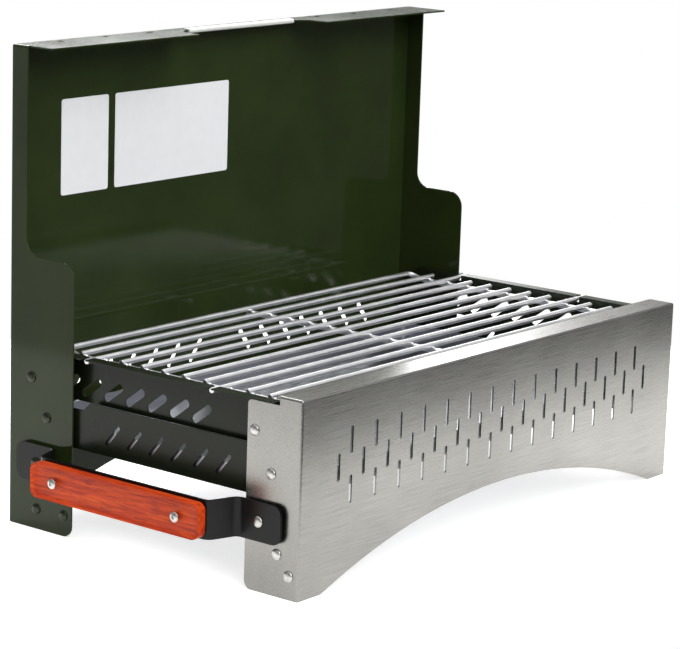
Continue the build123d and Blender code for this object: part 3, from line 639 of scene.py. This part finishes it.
class GRILL_OT_brackets(bpy.types.Operator):
    """Makes the handle brackets, whose arms lean towards the grip's middle as the front left one
    does in the photograph, while the rounded tabs keep their place and their holes"""

    bl_idname = "grill.brackets"
    bl_label = "Handle brackets"

    def execute(self, context):
        black = powder_coat("black_powder_coat", linear("0a0a0a"), linear("121212"), 0.24, 0.38)
        for hand, side in (("left", -1), ("right", 1)):
            node = "handle_bracket_" + hand
            low, high = node_box(node)
            near, far = sorted((abs(low[0]), abs(high[0])))
            tab_line, plate_line = near + BRACKET_SHEET / 2, far - BRACKET_SHEET / 2
            line = []
            tabs = []
            for end, inwards in ((low[1], 1), (high[1], -1)):
                pivot = end + inwards * TAB_END
                root = pivot + inwards * TAB_ROOT
                start = root - inwards * TAB_OVERLAP
                fold = root + inwards * ROOT_TO_ARM
                arm = [(tab_line, start), (tab_line, fold), (plate_line, fold + inwards * ARM_LEAN)]
                line += arm[::inwards]
                corners = [(start, low[2]), (end, low[2]), (end, high[2]), (start, high[2])]
                hole = bore((pivot, (low[2] + high[2]) / 2))
                tabs.append(plate(rounded_path(corners, TAB_CORNER), [hole],
                                  span(side, near, near + BRACKET_SHEET)))
            strip = folded_strip(rounded_path(line, BRACKET_BEND), low[2], high[2], side)
            dress(node, "folded", [strip] + tabs, black, hand + "_handle")
        return {"FINISHED"}


class GRILL_OT_grate(bpy.types.Operator):
    """Makes the welded wire grate with round wires, bent corners and weld beads"""

    bl_idname = "grill.grate"
    bl_label = "Wire grate"

    def execute(self, context):
        low, high = node_box("grate")
        level = high[2] - WIRE_RADIUS
        under = low[2] + WIRE_RADIUS
        bar_ys, back = bar_places()
        front = bar_ys[0] - FRAME_TAIL
        parts = []
        for number, y in enumerate(bar_ys):
            half = LONG_HALF if number in LONG_BARS else SHORT_HALF
            path = np.column_stack([np.linspace(-half, half, BAR_STEPS), np.full(BAR_STEPS, y),
                                    np.full(BAR_STEPS, level)])
            parts.append(rod(path))
        corners = [(-FRAME_HALF, front, under), (-FRAME_HALF, back - FRAME_RISE, under),
                   (-FRAME_HALF, back, level), (FRAME_HALF, back, level),
                   (FRAME_HALF, back - FRAME_RISE, under), (FRAME_HALF, front, under)]
        parts.append(rod(rounded_path(corners, FRAME_BEND)))
        parts.append(rod([(0, front, under), (0, 0, under), (0, back + FRAME_TAIL, under)]))
        bead = context.scene.grill_settings.weld_width / MM
        for x in (-FRAME_HALF, 0.0, FRAME_HALF):
            for y in bar_ys:
                parts.append(weld((x, y, (level + under) / 2), (bead, bead, WELD_HALF_HEIGHT)))
        dress("grate", "wires", parts, plated_wire(), "grate_links")
        return {"FINISHED"}


class GRILL_OT_fasteners(bpy.types.Operator):
    """Makes the domed rivets, the rings on them and the grip screws"""

    bl_idname = "grill.fasteners"
    bl_label = "Rivets and screws"

    def execute(self, context):
        bright = headed_steel("headed_steel", linear("a9a8a4"), linear("cfcecb"), 0.24, 0.38)
        black = headed_steel("blackened_steel", linear("2b2e26"), linear("454a3e"), 0.28, 0.42)
        for panel, steel in (("front", bright), ("rear", black)):
            for group, (seat, foot) in RIVETS.items():
                node = "%s_%s_rivets" % (panel, group)
                centres = self.centres(node) if group == "fixed" else [middle_of(node)]
                parts = self.both_sides(self.rivet(seat, foot), centres)
                dress(node, "domed", parts, steel, panel + "_case")
            for group, (start, end) in RINGS.items():
                node = "%s_%s" % (panel, group)
                parts = self.both_sides(self.ring(start, end), [middle_of(node)])
                dress(node, "turned", parts, steel, panel + "_case")
        for hand, side in (("left", -1), ("right", 1)):
            node = "grip_screws_" + hand
            low, high = node_box(node)
            radius = (high[2] - low[2]) / 2
            parts = [turned(self.screw(), (y, (low[2] + high[2]) / 2), side)
                     for y in (low[1] + radius + SCREW_INSET, high[1] - radius - SCREW_INSET)]
            dress(node, "turned", parts, bright, hand + "_handle")
        return {"FINISHED"}

    def both_sides(self, profile, centres):
        """The same turned shape at each centre on both sides of the grill."""
        return [turned(profile, centre, side) for centre in centres for side in (-1, 1)]

    def centres(self, node):
        """Y and Z of the two fixed rivets of a node, from its frame mesh."""
        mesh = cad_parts[node].data
        points = np.empty(len(mesh.vertices) * 3)
        mesh.vertices.foreach_get("co", points)
        points = points.reshape(-1, 3)[:, 1:] / MM
        split = (points[:, 0].min() + points[:, 0].max()) / 2
        halves = (points[points[:, 0] < split], points[points[:, 0] >= split])
        return [tuple((half.min(0) + half.max(0)) / 2) for half in halves]

    def rivet(self, seat, foot):
        """Profile of a rivet, from the foot inside to the domed head outside."""
        end = foot - FOOT_HEIGHT
        return [(end, NEAR_AXIS), (end, FOOT_RADIUS - FOOT_EDGE), (end + FOOT_EDGE, FOOT_RADIUS),
                (foot, FOOT_RADIUS), (foot, SHANK_RADIUS), (seat, SHANK_RADIUS)
                ] + dome(HEAD_RADIUS, HEAD_HEIGHT, HEAD_RIM, seat)

    def ring(self, start, end):
        """Closed profile of a spacer or washer."""
        band = RING_RADIUS - RING_BAND
        return [(start, RING_BORE), (start, band), (start, RING_RADIUS), (end, RING_RADIUS),
                (end, band), (end, RING_BORE), (start, RING_BORE)]

    def screw(self):
        """Profile of a grip screw, from its nut inside to the socket in its head. The dome stops
        four points short of the axis, where the socket begins."""
        inner, outer = NUT
        nut = [(inner, NEAR_AXIS), (inner, NUT_RADIUS), (outer - NUT_BAND, NUT_RADIUS),
               (outer, NUT_RADIUS), (outer, SCREW_SHANK_RADIUS), (GRIP_FACE, SCREW_SHANK_RADIUS)]
        head = dome(SCREW_HEAD_RADIUS, SCREW_HEAD_HEIGHT, SCREW_HEAD_RIM, GRIP_FACE)[:-4]
        socket = [(GRIP_FACE + SOCKET_EDGE, SOCKET_RADIUS),
                  (GRIP_FACE + SOCKET_FLOOR, SOCKET_RADIUS), (GRIP_FACE + SOCKET_FLOOR, NEAR_AXIS)]
        return nut + head + socket


class GRILL_OT_grips(bpy.types.Operator):
    """Makes the wooden grips, 154 mm long as measured in the photograph"""

    bl_idname = "grill.grips"
    bl_label = "Wooden grips"

    def execute(self, context):
        settings = context.scene.grill_settings
        wood = stained_wood(settings.wood_stain)
        for hand, side in (("left", -1), ("right", 1)):
            node = "handle_grip_" + hand
            low, high = node_box(node)
            part = rounded_bar(low + GRIP_INSET, high - GRIP_INSET, settings.grip_edge / MM, side)
            dress(node, "rounded", [part], wood, hand + "_handle")
        return {"FINISHED"}


class GRILL_OT_stage(bpy.types.Operator):
    """Sets the floor, the soft studio light and the camera of the photograph"""

    bl_idname = "grill.stage"
    bl_label = "Stage"

    def execute(self, context):
        scene = context.scene
        scene.view_settings.view_transform = "Standard"
        self.floor(scene)
        self.world(scene)
        # Name, place and aim in metres, width in metres and power in watts.
        for name, place, aim, size, power in (
            ("key", (-0.9, -2.4, 2.2), (0, 0, 0.1), 2.2, 76.0),
            ("fill", (1.9, -2.1, 1.5), (0, 0, 0.12), 1.8, 7.0),
            ("top", (0.1, 0.3, 2.6), (0, 0, 0.1), 3.6, 50.0),
            ("back", (1.5, 1.9, 1.6), (0, 0, 0.1), 2.0, 84.0),
        ):
            lamp = bpy.data.lights.new(name, "AREA")
            lamp.energy = power
            lamp.size = size
            obj = bpy.data.objects.new(name, lamp)
            obj.location = place
            way = Vector(aim) - Vector(place)
            obj.rotation_euler = way.to_track_quat("-Z", "Y").to_euler()
            scene.collection.objects.link(obj)
        self.camera(scene)
        return {"FINISHED"}

    def rays(self, tree):
        """1 for a camera ray, and 1 for a ray that comes off metal or gloss or through glass."""
        path = add(tree, "ShaderNodeLightPath").outputs
        mirrored = add(tree, "ShaderNodeMath", operation="MAXIMUM",
                       links={0: path["Is Glossy Ray"], 1: path["Is Transmission Ray"]})
        return path["Is Camera Ray"], mirrored

    def floor(self, scene):
        """Pale table top round the grill. Its glow brings it to white for the camera, in
        reflections and through glass, lights nothing else, and keeps the shadow."""
        side, front, back = 0.62, -0.36, 0.55    # in metres from the middle of the grill
        glow_strength = 0.6
        mesh = bpy.data.meshes.new("floor")
        mesh.from_pydata([(-side, front, 0), (side, front, 0), (side, back, 0), (-side, back, 0)],
                         [], [(0, 1, 2, 3)])
        obj = bpy.data.objects.new("floor", mesh)
        scene.collection.objects.link(obj)
        made, tree, shader, _ = material("pale_floor")
        camera, mirrored = self.rays(tree)
        seen = add(tree, "ShaderNodeMath", links={0: camera, 1: mirrored}, operation="MAXIMUM")
        glow = add(tree, "ShaderNodeMath", {1: glow_strength * scene.grill_settings.floor_level},
                   {0: seen}, operation="MULTIPLY")
        fill(tree, shader, {"Base Color": linear("f2f2f0"), "Roughness": 0.8,
                            "Emission Color": (1, 1, 1, 1)}, {"Emission Strength": glow})
        mesh.materials.append(made)

    def world(self, scene):
        """Soft light of a grey room, and a white backdrop. The camera sees the backdrop all
        round. Reflections show it where it stands, behind the grill and up to the height of the
        horizon, and show the grey room elsewhere."""
        horizon, overhead, backdrop = 0.16, 0.6, 1.0
        scene.world = bpy.data.worlds.new("studio")
        scene.world.use_nodes = True
        tree = scene.world.node_tree
        way = add(tree, "ShaderNodeTexCoord").outputs["Generated"]
        axes = add(tree, "ShaderNodeSeparateXYZ", links={"Vector": way}).outputs
        room = add(tree, "ShaderNodeMapRange", {"To Min": horizon, "To Max": overhead},
                   {"Value": axes["Z"]})
        behind = add(tree, "ShaderNodeMapRange", {"From Min": -0.15, "From Max": 0.15},
                     {"Value": axes["Y"]})
        below = add(tree, "ShaderNodeMapRange", {"From Min": 0.02, "From Max": -0.04},
                    {"Value": axes["Z"]})
        place = add(tree, "ShaderNodeMath", links={0: behind, 1: below}, operation="MULTIPLY")
        camera, mirrored = self.rays(tree)
        shown = add(tree, "ShaderNodeMath", links={0: mirrored, 1: place}, operation="MULTIPLY")
        seen = add(tree, "ShaderNodeMath", links={0: camera, 1: shown}, operation="MAXIMUM")
        strength = add(tree, "ShaderNodeMix", {3: backdrop}, {"Factor": seen, 2: room},
                       data_type="FLOAT")
        fill(tree, tree.nodes["Background"], {"Color": (1, 1, 1, 1)}, {"Strength": strength})

    def camera(self, scene):
        """Camera from a fit of the finished model to the photograph: position, turn and lens."""
        place = np.array([-1548.5, -1207.7, 559.2]) * MM
        turn, drop, roll = (math.radians(angle) for angle in (51.682, 12.307, 1.89))
        focal = 2727.4            # focal length in pixels of the photograph
        ahead = np.array([math.sin(turn) * math.cos(drop), math.cos(turn) * math.cos(drop),
                          -math.sin(drop)])
        right = np.array([math.cos(turn), -math.sin(turn), 0.0])
        up = np.cross(right, ahead)
        rolled_right = math.cos(roll) * right + math.sin(roll) * up
        rolled_up = -math.sin(roll) * right + math.cos(roll) * up
        lens = bpy.data.cameras.new("camera")
        lens.sensor_fit = "HORIZONTAL"
        lens.sensor_width = 36.0
        lens.lens = focal / IMAGE[0] * lens.sensor_width
        lens.clip_start = 0.05
        lens.clip_end = 50.0
        obj = bpy.data.objects.new("camera", lens)
        axes = np.stack([rolled_right, rolled_up, -ahead], axis=-1)
        obj.matrix_world = Matrix.Translation(Vector(place)) @ Matrix(axes.tolist()).to_4x4()
        scene.collection.objects.link(obj)
        scene.camera = obj


class GRILL_PT_sidebar(bpy.types.Panel):
    """Lists the grill's sizes, colours and pieces"""

    bl_idname = "GRILL_PT_sidebar"
    bl_label = "Folding grill"
    bl_space_type = "VIEW_3D"
    bl_region_type = "UI"
    bl_category = "Grill"

    def draw(self, context):
        for name in ("panel_green", "wood_stain", "weld_width", "grip_edge", "floor_level"):
            self.layout.prop(context.scene.grill_settings, name)
        for kind in OPERATORS:
            self.layout.operator(kind.bl_idname)


OPERATORS = (GRILL_OT_panels, GRILL_OT_rails, GRILL_OT_brackets, GRILL_OT_grate,
             GRILL_OT_fasteners, GRILL_OT_grips, GRILL_OT_stage)
CLASSES = (GrillSettings,) + OPERATORS + (GRILL_PT_sidebar,)


def register():
    """Registers the classes and the settings."""
    for kind in CLASSES:
        bpy.utils.register_class(kind)
    bpy.types.Scene.grill_settings = bpy.props.PointerProperty(type=GrillSettings)


def unregister():
    """Takes the settings and the classes away again."""
    del bpy.types.Scene.grill_settings
    for kind in reversed(CLASSES):
        bpy.utils.unregister_class(kind)


def main():
    """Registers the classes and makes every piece."""
    register()
    for kind in OPERATORS:
        family, action = kind.bl_idname.split(".")
        result = getattr(getattr(bpy.ops, family), action)()
        if "FINISHED" not in result:
            raise RuntimeError(kind.bl_label + " did not finish")


if __name__ == "__main__":
    main()
